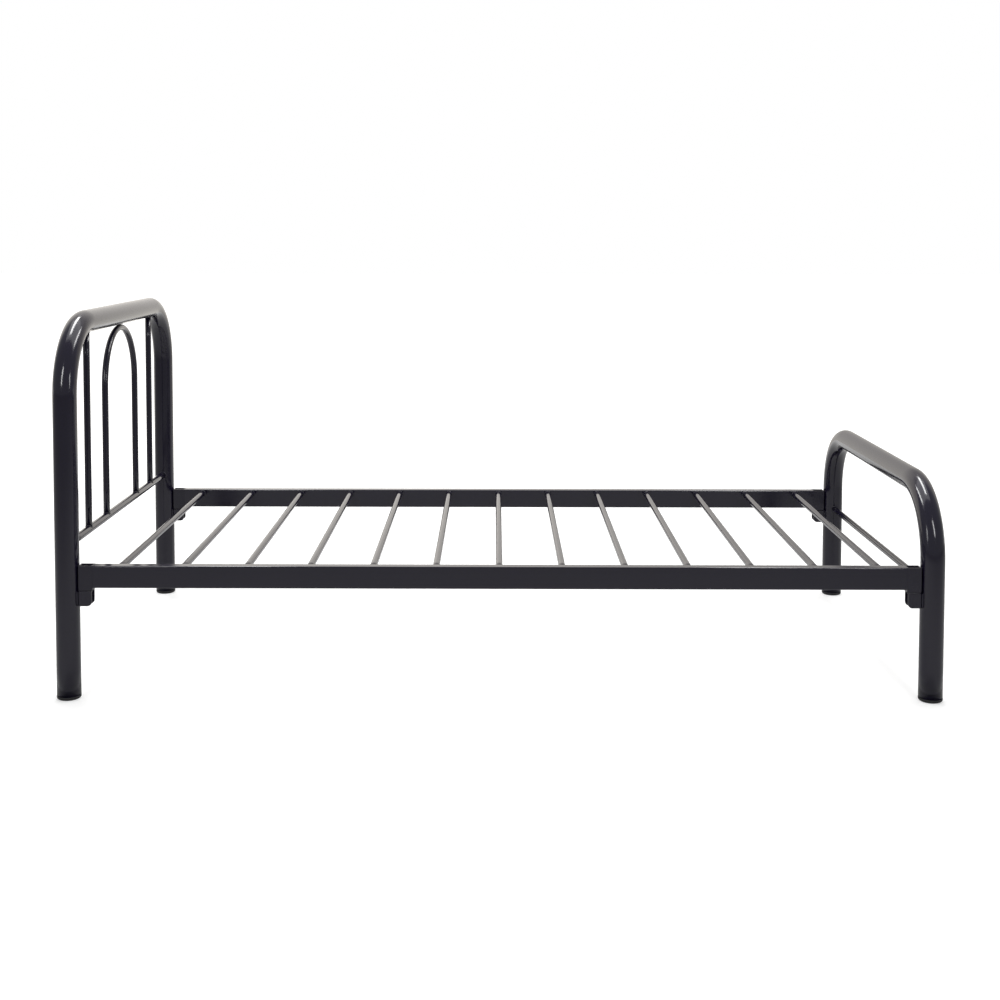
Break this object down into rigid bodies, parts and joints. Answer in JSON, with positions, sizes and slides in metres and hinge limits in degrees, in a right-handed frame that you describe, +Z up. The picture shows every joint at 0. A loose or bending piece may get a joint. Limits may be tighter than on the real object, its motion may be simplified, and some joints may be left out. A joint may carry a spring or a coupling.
{
  "type": "bed frame",
  "caption": "Single bed frame in dark powder-coated steel tube: bent-tube hoops with an arched headboard, and side rails joined by round slats, hooked to the posts.",
  "frame": {"origin": "on the floor, under the middle of the bed", "axes": "+X along the bed from head to foot, +Y across the bed to the right side as seen from the foot looking to the head, +Z up"},
  "size_m": [2.0094, 0.9794, 0.8739],
  "materials": {
    "powder_coat": "semi-gloss near-black charcoal powder coat with a faint orange peel",
    "pin_steel": "bright zinc-plated steel cross pins, hidden inside the rail shoes",
    "foot_plastic": "black moulded polyethylene with a fine matt grain"
  },
  "bodies": {
    "root": {"headboard_hoop": "powder_coat", "headboard_cross_rail": "powder_coat", "headboard_spindle_left": "powder_coat", "headboard_spindle_right": "powder_coat", "headboard_arch": "powder_coat", "headboard_bracket_left": "powder_coat", "headboard_bracket_right": "powder_coat", "headboard_pins_left": "pin_steel", "headboard_pins_right": "pin_steel", "headboard_foot_left": "foot_plastic", "headboard_foot_right": "foot_plastic", "footboard_hoop": "powder_coat", "footboard_cross_rail": "powder_coat", "footboard_bracket_left": "powder_coat", "footboard_bracket_right": "powder_coat", "footboard_pins_left": "pin_steel", "footboard_pins_right": "pin_steel", "footboard_foot_left": "foot_plastic", "footboard_foot_right": "foot_plastic", "side_rail_left": "powder_coat", "side_rail_right": "powder_coat", "rail_shoe_head_left": "powder_coat", "rail_shoe_head_right": "powder_coat", "rail_shoe_foot_left": "powder_coat", "rail_shoe_foot_right": "powder_coat", "rail_hook_head_left": "powder_coat", "rail_hook_head_right": "powder_coat", "rail_hook_foot_left": "powder_coat", "rail_hook_foot_right": "powder_coat", "slat_01": "powder_coat", "slat_02": "powder_coat", "slat_03": "powder_coat", "slat_04": "powder_coat", "slat_05": "powder_coat", "slat_06": "powder_coat", "slat_07": "powder_coat", "slat_08": "powder_coat", "slat_09": "powder_coat", "slat_10": "powder_coat", "slat_11": "powder_coat", "slat_12": "powder_coat", "slat_13": "powder_coat"}
  },
  "joints": []
}
